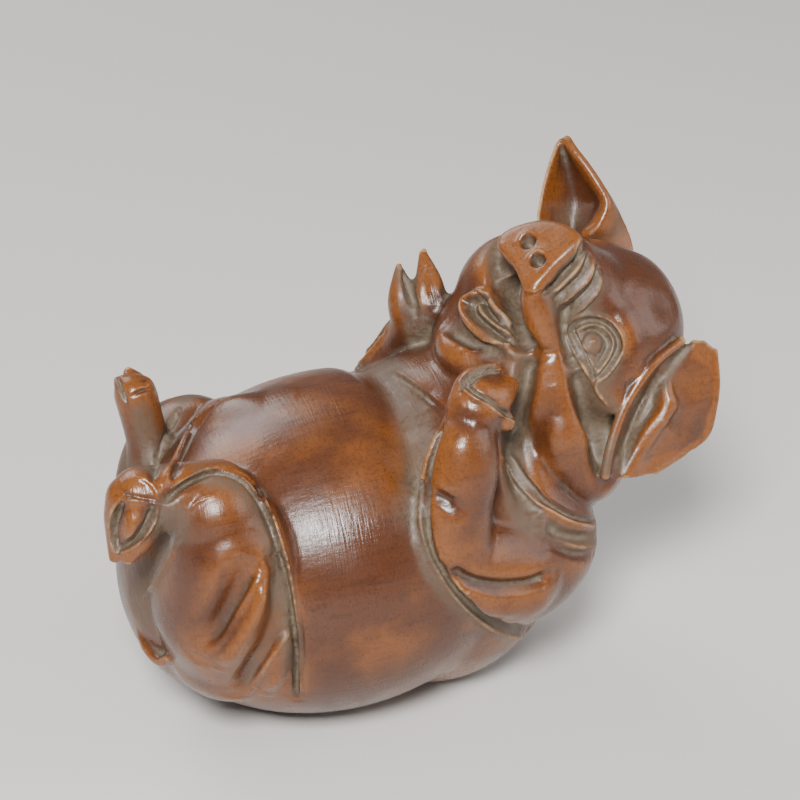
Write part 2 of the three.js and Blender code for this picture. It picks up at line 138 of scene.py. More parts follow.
# Body of the pig
# Belly, chest, rump, neck and shoulders are one swelling mass of wood, rounded over into each other.
# Every form starts as a sphere: an egg is stretched and turned, a limb is drawn out along a curve.

BODY = Matrix.Identity(4)
EGG_SEGMENTS = 64
EGG_RINGS = 40
LIMB_SEGMENTS = 40
LIMB_RINGS = 80
LIMB_DOME = 0.12
TORSO_GRAIN = 1.0
TORSO_ROUNDS = 12


def egg(centre, radii, turn=(0, 0, 0), carried=BODY):
    """An ellipsoid, turned about X, Y and Z in degrees."""
    form = bmesh.new()
    x, y, z = [Matrix.Rotation(math.radians(angle), 4, axis) for angle, axis in zip(turn, "XYZ")]
    stretched = Matrix.Diagonal((*radii, 1))
    place = carried @ Matrix.Translation(centre) @ z @ y @ x @ stretched
    bmesh.ops.create_uvsphere(form, u_segments=EGG_SEGMENTS, v_segments=EGG_RINGS, radius=1, matrix=place)
    return form


def curve(points, t):
    """A smooth curve through points, for t from 0 to 1. The points may differ for every t."""
    points = np.asarray(points, float)
    points = np.broadcast_to(points, (len(t),) + points.shape[-2:])
    before = 2 * points[:, :1] - points[:, 1:2]
    after = 2 * points[:, -1:] - points[:, -2:-1]
    points = np.concatenate([before, points, after], axis=1)
    spans = points.shape[1] - 3
    place = np.clip(t, 0, 1) * spans
    first = np.minimum(place.astype(int), spans - 1)
    f = (place - first)[:, None]
    rows = np.arange(len(t))
    a, b, c, d = [points[rows, first + k] for k in range(4)]
    squared = (2 * a - 5 * b + 4 * c - d) * f**2
    cubed = (3 * b - a - 3 * c + d) * f**3
    return 0.5 * (2 * b + (c - a) * f + squared + cubed)


def unit(vectors):
    """Each row brought to length one."""
    return vectors / np.maximum(np.linalg.norm(vectors, axis=1), 1e-9)[:, None]


def sphere_points(form, segments, rings):
    """A sphere's share of the way from top to bottom, and its angle round, for each vertex."""
    bmesh.ops.create_uvsphere(form, u_segments=segments, v_segments=rings, radius=1)
    at = np.array([v.co for v in form.verts])
    fall = np.arccos(np.clip(at[:, 2], -1, 1)) / np.pi
    return fall, np.arctan2(at[:, 1], at[:, 0])


def settle(form, points, carried):
    """The form with its vertices moved to the points, in the axes that carry it."""
    for vertex, point in zip(form.verts, points):
        vertex.co = carried @ Vector(point)
    bmesh.ops.recalc_face_normals(form, faces=form.faces)
    return form


def limb(stations, side=(0, 1, 0), flat=1.0, carried=BODY):
    """A round bar with domed ends along a curve. Each station is x, y, z and the radius there."""
    form = bmesh.new()
    fall, around = sphere_points(form, LIMB_SEGMENTS, LIMB_RINGS)
    t = np.clip((fall - LIMB_DOME) / (1 - 2 * LIMB_DOME), 0, 1)
    past = np.maximum(np.maximum(LIMB_DOME - fall, fall - 1 + LIMB_DOME), 0) / LIMB_DOME * np.pi / 2
    centre = curve(stations, t)
    step = 1e-3
    path = np.asarray(stations, float)[:, :3]
    along = unit(curve(path, np.clip(t + step, 0, 1)) - curve(path, np.clip(t - step, 0, 1)))
    side = np.array(side, float)
    across = unit(side - (along @ side)[:, None] * along)
    other = np.cross(along, across)
    ring = centre[:, 3] * np.cos(past)
    end = np.where(fall < 0.5, -1, 1) * np.sin(past) * centre[:, 3]
    points = centre[:, :3] + across * (ring * np.cos(around))[:, None]
    points += other * (flat * ring * np.sin(around))[:, None] + along * end[:, None]
    return settle(form, points, carried)


def joined(forms):
    """One bmesh with all the forms in it, still passing through each other."""
    whole = bmesh.new()
    for form in forms:
        part = bpy.data.meshes.new("part")
        form.to_mesh(part)
        form.free()
        whole.from_mesh(part)
        bpy.data.meshes.remove(part)
    return whole


def fused(forms, grain, rounds):
    """The forms grown into one closed skin with faces about grain wide, then smoothed over."""
    whole = joined(forms)
    mesh = bpy.data.meshes.new("fused")
    whole.to_mesh(mesh)
    whole.free()
    block = bpy.data.objects.new("fused", mesh)
    bpy.context.scene.collection.objects.link(block)
    skin = block.modifiers.new("skin", "REMESH")
    skin.mode = "VOXEL"
    skin.voxel_size = grain
    smooth = block.modifiers.new("smooth", "SMOOTH")
    smooth.factor = 0.5
    smooth.iterations = rounds
    result = bmesh.new()
    result.from_object(block, bpy.context.evaluated_depsgraph_get())
    bpy.data.objects.remove(block)
    bpy.data.meshes.remove(mesh)
    return result


torso = fused([
    egg((0.5, 0, 22.5), (28.5, 23.5, 22.5), (0, -8, 0)),
    egg((18, 0, 29), (18, 18.5, 18), (0, -20, 0)),
    egg((14, 0, 21.5), (19, 19, 22)),
    egg((-15, 0, 21), (13.5, 17, 17.5)),
    egg((30, 1, 33), (12, 13, 13)),
    egg((21, -12.5, 24), (13, 8.5, 11), (0, -20, 0)),
    egg((21, 12.5, 24), (13, 8.5, 11), (0, -20, 0)),
], grain=TORSO_GRAIN, rounds=TORSO_ROUNDS)

# Legs of the pig
# Fat thighs are folded against the belly, the shanks are short, and every foot ends in two toes.
# The arms are bent up against the chest.

NEAR_THIGH = [
    (-15.5, -9.5, 17.5, 9.5), (-15.8, -12, 25, 10.8), (-16.8, -14, 33, 8.6), (-18.2, -13.8, 38.5, 5.8),
]
NEAR_SHANK = [(-18, -11, 38, 6), (-23, -12.5, 41, 4.5), (-27.5, -12.5, 42.4, 3.5)]
FAR_THIGH = (-15, 12, 24)
FAR_THIGH_RADII = (11, 9.5, 15)
FAR_THIGH_TURN = (-20, 0, 0)
FAR_SHANK = [(-16, 9, 28, 6), (-20.5, 9, 32.5, 4.2), (-21.6, 10, 37, 2.9), (-22.6, 11, 43, 2.9)]
NEAR_ARM = [
    (20, -15, 24, 8), (12, -18, 29, 6.2), (11.5, -18.5, 36, 5),
    (13, -18, 43, 4.6), (14.2, -16.5, 48, 3.2), (15.5, -15.8, 50, 3),
]
FAR_ARM = [(20, 14, 24, 8), (14, 16, 30, 6), (14, 16, 36, 5), (15.5, 14.3, 42, 3.5), (16.3, 12.6, 46, 3.2)]
HOOF_HEEL = (18.7, -17.7, 47.2)
HOOF_HEEL_RADII = (1.3, 1.3, 1.2)
TOES = [
    [(-27.6, -13.2, 42, 2.9), (-28, -14.5, 38.6, 2.6), (-29.8, -15, 34.9, 0.9)],
    [(-28.8, -12.2, 42, 2.9), (-29.6, -12.4, 38.4, 2.6), (-31.2, -13.4, 34.4, 0.9)],
    [(-22.9, 10.3, 41, 2.2), (-23.8, 11.2, 43.4, 1.7), (-24.6, 11.8, 45, 0.8)],
    [(-21.9, 12, 41, 2.2), (-22.2, 13.2, 43.4, 1.7), (-22.8, 13.9, 44.8, 0.8)],
    [(14.2, -15.8, 49.6, 2.7), (15.4, -14.4, 51.8, 2), (18.7, -13.3, 52.6, 0.9)],
    [(15.4, -16.6, 48.8, 3), (17.8, -15.8, 49.9, 2.5), (20.3, -14.3, 50.4, 1.3)],
    [(15.6, 12.4, 46.4, 2.3), (14.9, 13, 50, 2), (15.3, 15.2, 53.8, 0.7)],
    [(17, 11.4, 46.6, 2.5), (18.3, 11.6, 51, 2.3), (18.6, 15, 55.5, 0.7)],
]

legs = [
    limb(NEAR_THIGH),
    egg(FAR_THIGH, FAR_THIGH_RADII, FAR_THIGH_TURN),
    limb(NEAR_SHANK),
    limb(FAR_SHANK),
    limb(NEAR_ARM),
    limb(FAR_ARM),
    egg(HOOF_HEEL, HOOF_HEEL_RADII),
    *[limb(toe) for toe in TOES],
]

# Head of the pig
# Skull, heavy jaw and jowls, and a short snout that ends in a flat disc.
# It has its own axes: f out along the snout, l to the pig's left and u to its crown.

SKULL = Vector((38.4, 0, 48.7))
snout_way = Vector((-0.511, -0.3106, 0.8015)).normalized()
left_way = Vector((0.0787, -0.9454, -0.3162))
left_way = (left_way - snout_way * left_way.dot(snout_way)).normalized()
crown_way = snout_way.cross(left_way)
HEAD = Matrix.Translation(SKULL) @ Matrix((snout_way, left_way, crown_way)).transposed().to_4x4()

HEAD_GRAIN = 0.6
HEAD_ROUNDS = 8
NEAR_LIP = [
    (19.2, 2.9, -4.1, 1.5), (17.6, 3.5, -4.6, 2.1), (15.8, 4.5, -5.2, 2.3), (14.3, 5.5, -6, 2.2),
    (12, 6.9, -6.6, 1.9), (10.6, 8.2, -7.3, 1.7), (8.6, 9.6, -8.4, 2.3), (4.8, 11.6, -9.9, 3.5),
    (0.9, 13.4, -12, 4.3), (-2, 14, -13.4, 3.8),
]
FAR_LIP = [(17, -2.6, -4.2, 1.5), (14.5, -4, -5.6, 1.6), (11.5, -5.8, -7.4, 2), (6, -9, -9.5, 4)]
SNOUT = [(5, 0, 0, 8), (10.5, 0, 0, 6.3), (14.6, 0, 0, 4.9)]
CHIN = [(8, -7.5, -16.5, 2), (10.6, -0.5, -17.4, 2.8), (9.6, 6, -15, 2.2)]

head = fused([
    egg((0, 0, 0), (11, 12, 11), carried=HEAD),
    egg((3, 0, -9), (11, 14.5, 14.5), carried=HEAD),
    egg((-4.6, 9.8, -11.3), (7.5, 10, 7), carried=HEAD),
    egg((-4.6, -9.8, -11.3), (7.5, 10, 7), carried=HEAD),
    egg((5.5, -6.8, -6.6), (9.6, 8.2, 9.2), carried=HEAD),
    egg((-6, 8.5, -3), (5.5, 6.5, 8.5), carried=HEAD),
    limb(NEAR_LIP, carried=HEAD),
    limb(FAR_LIP, carried=HEAD),
    limb(SNOUT, side=(0, 0, 1), carried=HEAD),
    limb(CHIN, side=(0, 0, 1), carried=HEAD),
], grain=HEAD_GRAIN, rounds=HEAD_ROUNDS)

# Ears of the pig
# Thin leaves: the near one is laid back with a folded front edge, the far one stands up with a curled rim.
# A point is a pixel of the photograph, and how far it stands out from the skull's middle to the camera.

EAR_THICKNESS = 1.4
EAR_EDGE = 0.08
EAR_RIM = 0.65
OUTER_RIM = 0.55
OUTER_RIM_FALL = 0.07
EAR_SEGMENTS = 64
EAR_RINGS = 64
NEAR_EAR = [
    [(681, 341, 6.5), (684, 344, 4.4), (688, 345, 3.9), (692, 344, 3.9), (698, 341, 4.2), (705, 340, 4)],
    [(655, 362, 9), (661, 368, 4.8), (665, 373, 4.8), (668, 376, 5.4), (676, 371, 5), (715, 351, 3)],
    [(636, 387, 9.6), (645, 391, 3.9), (656, 392, 4.8), (667, 391, 6.2), (675, 389, 4.4), (717, 382, 2)],
    [(623, 410, 9.6), (635, 412, 3.6), (650, 411, 4.7), (669, 408, 6.5), (678, 409, 3.8), (713, 410, 1)],
    [(615, 431, 9.4), (625, 433, 3.8), (638, 432, 4.8), (653, 430, 6.2), (664, 431, 3.4), (707, 433, 0)],
    [(609, 452, 9.2), (617, 454, 4.8), (629, 452, 5), (640, 450, 5.8), (652, 451, 3.4), (690, 449, 0)],
    [(605, 475, 8.6), (610, 477, 6.5), (618, 478, 5.7), (625, 477, 5.6), (640, 476, 4), (655, 473, 3)],
]
FAR_EAR = [
    [(556, 264, -7), (566, 266, -8.5), (580, 264, -9.5),
     (592, 258, -8.5), (603, 254, -7.5), (634, 264, -8)],
    [(545, 245, -6.5), (558, 245, -9), (575, 242, -10.5),
     (583, 239, -8), (590, 237, -6.5), (634, 247, -8.5)],
    [(537, 222, -6.3), (552, 222, -9.5), (574, 222, -11),
     (590, 223, -8.8), (600, 224, -6), (627, 227, -9)],
    [(539, 203, -6.5), (553, 203, -9.5), (575, 203, -11),
     (597, 203, -9), (607, 204, -6), (617, 208, -8.5)],
    [(543, 183, -7), (555, 183, -9.5), (573, 184, -10.5),
     (589, 185, -9), (599, 186, -6.5), (605, 190, -8.3)],
    [(549, 163, -7.6), (557, 163, -9.2), (568, 163, -9.8),
     (578, 164, -8.8), (585, 165, -7), (589, 168, -8.2)],
    [(554, 150, -8), (559, 149, -9), (565, 149, -9.3),
     (570, 150, -8.7), (574, 151, -7.6), (576, 153, -8.3)],
    [(558, 141, -8.4), (561, 140, -8.6), (563, 139, -8.7),
     (565, 139, -8.6), (567, 140, -8.3), (569, 142, -8.4)],
]
drawn_eye = camera_eye + Vector((0, 0, RESTING_FLAT))


def on_ray(x, y, out):
    """The place on a pixel's ray that stands out so far from the skull's middle, towards the camera."""
    ray = photo_ray((x, y))
    reach = (out + (SKULL - drawn_eye).dot(camera_back)) / ray.dot(camera_back)
    return drawn_eye + ray * reach


def leaf(rows, thickness):
    """A curved slab with rounded edges: rows run along it, and each row's points run across it."""
    form = bmesh.new()
    fall, around = sphere_points(form, EAR_SEGMENTS, EAR_RINGS)
    t = np.clip((fall - EAR_EDGE) / (1 - 2 * EAR_EDGE), 0, 1)
    past = np.maximum(np.maximum(EAR_EDGE - fall, fall - 1 + EAR_EDGE), 0) / EAR_EDGE
    fullness = np.sqrt(np.clip(1 - past**2, 0, 1))
    v = 0.5 - 0.5 * np.cos(around) * fullness
    grid = np.asarray(rows, float)
    count, width = grid.shape[:2]

    def sheet(t, v):
        """Places on the slab's middle, t of the way along it and v of the way across."""
        lines = curve(grid.reshape(count, width * 3), np.clip(t, 0, 1)).reshape(-1, width, 3)
        return curve(lines, np.clip(v, 0, 1))

    step = 0.02
    down = sheet(t + step, v) - sheet(t - step, v)
    across = sheet(t, v + step) - sheet(t, v - step)
    outward = unit(np.cross(down, across))
    points = sheet(t, v) + outward * (thickness / 2 * np.sin(around) * fullness)[:, None]
    return settle(form, points, BODY)


near_ear = [[on_ray(*point) for point in row] for row in NEAR_EAR]
far_ear = [[on_ray(*point) for point in row] for row in FAR_EAR]
ear_rims = [
    [(*row[0], EAR_RIM) for row in near_ear],
    [(*row[5], OUTER_RIM - OUTER_RIM_FALL * abs(k - 3)) for k, row in enumerate(near_ear) if k > 0],
    [(*row[4], EAR_RIM) for row in far_ear[1:]],
]
ears = [leaf(near_ear, EAR_THICKNESS), leaf(far_ear, EAR_THICKNESS)]
ears += [limb(rim) for rim in ear_rims]

# Snout disc
# A flat plate with three rounded corners at the end of the snout. Its lower corner runs on into the lip.
# Its outline is in l and u of the head's axes, and its layers are a share of its width and a height f.

DISC_POINTS = 64
DISC = [
    (-5.5, -5.0), (-6.1, -4.0), (-5.9, -2.0), (-4.6, 1.0), (-2.3, 3.1), (0.3, 4.2),
    (1.9, 3.7), (2.6, 2.2), (3.2, -0.2), (4.2, -2.8), (4.4, -4.3),
    (3.7, -5.3), (1.9, -5.2), (-0.4, -5.0), (-2.5, -5.4), (-4.4, -5.6),
]
DISC_LAYERS = [
    (0.80, 17.2), (0.94, 17.9), (1.0, 18.6), (1.02, 19.4),
    (1.0, 19.9), (0.93, 20.3), (0.80, 20.45), (0.4, 20.5),
]
DISC_MIDDLE = np.array([-0.4, -2.2])


def plate(outline, middle, layers, carried):
    """A closed plate: the outline at a share of its width for each layer along f."""
    spans = len(outline) + 3
    once_round = np.linspace(2 / spans, 1 - 1 / spans, DISC_POINTS + 1)[:-1]
    points = curve(outline[-2:] + outline + outline[:2], once_round)
    form = bmesh.new()
    rings = []
    for width, f in layers:
        ring = middle + (points - middle) * width
        rings.append([form.verts.new(carried @ Vector((f, l, u))) for l, u in ring])
    for low, high in zip(rings, rings[1:]):
        for k in range(len(low)):
            form.faces.new((low[k - 1], low[k], high[k], high[k - 1]))
    form.faces.new(rings[0])
    form.faces.new(rings[-1])
    bmesh.ops.recalc_face_normals(form, faces=form.faces)
    return form


disc = plate(DISC, DISC_MIDDLE, DISC_LAYERS, HEAD)

# Tail of the pig
# A short thin curl laid against the rump.
# Its end lifts a little from the body.

TAIL = [
    (-26.6, -3.5, 17.5, 0.9), (-26.6, -7, 15.8, 0.9), (-25.6, -10.2, 15.2, 0.8), (-24.8, -12.4, 17, 0.6),
]

tail = limb(TAIL)

# Folds of fat
# Broad hollows and swellings, worked into the rounded masses before any fine line is cut.
# A stroke is a line of pixels of the photograph, its half width, its height, its profile and its mirror.
# A height below zero goes into the wood, and a mirror repeats the stroke on the side that isn't seen.

STROKE_STEP = 1.6
SHORTEST_TAPER = 1.2
COARSE_GRAIN = 0.5
COARSE_ROUNDS = 2
HEAD_MIRROR = HEAD @ Matrix.Diagonal((1, -1, 1, 1)) @ HEAD.inverted()
BODY_MIRROR = Matrix.Diagonal((1, -1, 1, 1))


def soft(x):
    """A round hollow or swelling: 1 in the middle, 0 at the edge."""
    return (1 - x**2) ** 2


def sharp(x):
    """A cut with a sharp bottom."""
    return (1 - x) ** 1.5


def domed(x):
    """A half ball."""
    return np.sqrt(np.clip(1 - x**2, 0, 1))


def laid(pixels, surface):
    """Places on the surface under a smooth line through the pixels, with the surface's normals there."""
    pixels = np.array(pixels, float)
    if len(pixels) > 1:
        length = np.linalg.norm(np.diff(pixels, axis=0), axis=1).sum()
        pixels = curve(pixels, np.linspace(0, 1, max(4, int(length / STROKE_STEP))))
    hits = [surface.ray_cast(drawn_eye, photo_ray(pixel)) for pixel in pixels]
    return [(hit[0], hit[1]) for hit in hits if hit[0] is not None]


def reflected(line, mirror, surface):
    """The line mirrored, and set on the nearest places of the surface."""
    found = [surface.find_nearest(mirror @ place) for place, _ in line]
    return [(hit[0], hit[1]) for hit in found]


def both_sides(pixels, mirror, surface):
    """The line laid on the surface, and its mirror image where it has one."""
    lines = [laid(pixels, surface)]
    if mirror is not None:
        lines.append(reflected(lines[0], mirror, surface))
    return lines


def searchable(places):
    """The places in a tree that finds those near a point."""
    grains = KDTree(len(places))
    for index, place in enumerate(places):
        grains.insert(place, index)
    grains.balance()
    return grains


def carved(form, strokes):
    """Moves the skin along its own normals under every stroke."""
    form.normal_update()
    places = np.array([v.co for v in form.verts])
    normals = np.array([v.normal for v in form.verts])
    surface = BVHTree.FromBMesh(form)
    grains = searchable(places)
    lift = np.zeros(len(places))
    for pixels, width, height, shape, mirror in strokes:
        for line in both_sides(pixels, mirror, surface):
            middle = np.array([place for place, _ in line])
            facing = np.array([normal for _, normal in line])
            along = unit(np.gradient(middle, axis=0)) if len(line) > 1 else np.zeros((1, 3))
            ends = np.minimum(np.arange(len(line)) + 1, len(line) - np.arange(len(line)))
            ends = ends * STROKE_STEP / PIXELS_PER_MM / max(SHORTEST_TAPER, width)
            taper = np.clip(ends, 0, 1) ** 0.7 if len(line) > 1 else np.ones(1)
            nearest = {}
            for sample, place in enumerate(middle):
                for _, index, distance in grains.find_range(place, width):
                    if distance < nearest.get(index, (width, 0))[0]:
                        nearest[index] = (distance, sample)
            if not nearest:
                continue
            touched = np.array(list(nearest))
            sample = np.array([nearest[index][1] for index in touched])
            away = places[touched] - middle[sample]
            away -= along[sample] * np.sum(away * along[sample], axis=1)[:, None]
            x = np.clip(np.linalg.norm(away, axis=1) / width, 0, 1)
            turned = np.clip(np.sum(normals[touched] * facing[sample], axis=1) * 2, 0, 1)
            lift[touched] += height * shape(x) * taper[sample] * turned
    for vertex, place, normal, amount in zip(form.verts, places, normals, lift):
        vertex.co = place + normal * amount
    return form


FOLDS = [
    ([(503, 268), (510, 290), (515, 315), (522, 335), (531, 352)], 2.2, -2.2, soft, None),
    ([(528, 352), (526, 380), (519, 410), (515, 440), (519, 472), (530, 500)], 1.9, -1.8, soft, None),
    ([(567, 318), (572, 345), (578, 370)], 1.8, -1.5, soft, None),
    ([(578, 370), (585, 395), (595, 425), (602, 452), (606, 474)], 2.3, -2.4, soft, HEAD_MIRROR),
    ([(541, 352), (549, 353), (557, 352)], 1.2, -0.7, soft, None),
    ([(502, 258), (507, 278), (513, 298)], 2.6, -2.0, soft, None),
    ([(499, 248), (506, 272), (514, 300), (521, 328)], 2.8, -0.9, soft, None),
    ([(182, 421), (200, 412), (222, 409), (244, 403), (264, 397)], 4.6, 1.2, soft, None),
    ([(250, 474), (261, 485), (270, 501), (278, 520)], 1.4, 0.3, soft, None),
    ([(610, 414), (618, 402), (627, 390)], 3.2, 2.0, soft, None),
    ([(500, 240), (494, 252), (491, 266), (493, 284), (500, 296)], 1.3, -1.2, soft, None),
    ([(447, 326), (467, 338), (490, 349), (508, 352)], 1.6, -1.2, soft, None),
    ([(470, 350), (500, 350), (520, 355), (531, 364)], 1.3, 0.8, soft, None),
    ([(606, 298), (626, 328), (631, 360), (620, 392)], 3.2, 0.9, soft, HEAD_MIRROR),
    ([(660, 290), (672, 325)], 4.0, -0.8, soft, HEAD_MIRROR),
    ([(558, 415), (560, 460)], 4.0, 0.8, soft, HEAD_MIRROR),
    ([(660, 366), (642, 396), (628, 424), (616, 452)], 1.2, -1.4, soft, None),
    ([(519, 436), (519, 462), (525, 495), (540, 528)], 3.2, -1.1, soft, BODY_MIRROR),
    ([(250, 556), (238, 588), (224, 618), (204, 650)], 3.4, -1.5, soft, BODY_MIRROR),
    ([(264, 578), (254, 612), (238, 640), (222, 664)], 1.9, 1.1, soft, BODY_MIRROR),
    ([(277, 574), (280, 612), (270, 642), (254, 668), (240, 690)], 2.6, -1.6, soft, BODY_MIRROR),
    ([(291, 634), (283, 662), (268, 690)], 1.6, 0.9, soft, BODY_MIRROR),
    ([(270, 545), (279, 574), (286, 606), (290, 640), (292, 690)], 2.2, -0.6, soft, BODY_MIRROR),
    ([(385, 378), (397, 430), (408, 495)], 3.0, -0.8, soft, BODY_MIRROR),
    ([(412, 428), (419, 470), (418, 520)], 2.2, -0.7, soft, BODY_MIRROR),
    ([(412, 385), (432, 405)], 3.0, -0.9, soft, None),
    ([(441, 424), (433, 446), (427, 470), (424, 500), (424, 530), (430, 556), (443, 580), (460, 600),
     (485, 618), (515, 629), (545, 629)], 1.3, -1.3, soft, BODY_MIRROR),
    ([(450, 571), (470, 583), (500, 588), (530, 585), (552, 577)], 1.6, -1.5, soft, BODY_MIRROR),
    ([(470, 602), (500, 610), (530, 608)], 3.0, 0.6, soft, BODY_MIRROR),
    ([(430, 492), (445, 500), (456, 507)], 1.3, -0.9, soft, BODY_MIRROR),
    ([(462, 430), (452, 465)], 3.2, 0.5, soft, BODY_MIRROR),
    ([(446, 512), (462, 540)], 3.2, 0.6, soft, BODY_MIRROR),
    ([(447, 413), (462, 419), (476, 425)], 1.6, -0.5, soft, None),
    ([(165, 502), (175, 490), (192, 479), (210, 472), (228, 473), (244, 481), (256, 495), (265, 511),
     (277, 541), (285, 571), (292, 606), (297, 641), (298, 698)], 1.2, -0.6, soft, None),
    ([(548, 524), (565, 535), (590, 538), (612, 530)], 1.4, -1.3, soft, BODY_MIRROR),
    ([(552, 543), (572, 554), (592, 555), (604, 549)], 1.2, -1.0, soft, BODY_MIRROR),
]

masses = carved(fused([torso, *legs, head], grain=COARSE_GRAIN, rounds=COARSE_ROUNDS), FOLDS)

# Knife lines
# The whole figure as one skin, with the lines and ridges that the knife leaves.
# They draw the nostrils, wrinkles, eyes, hooves, thighs and arms, as strokes like those of the folds.

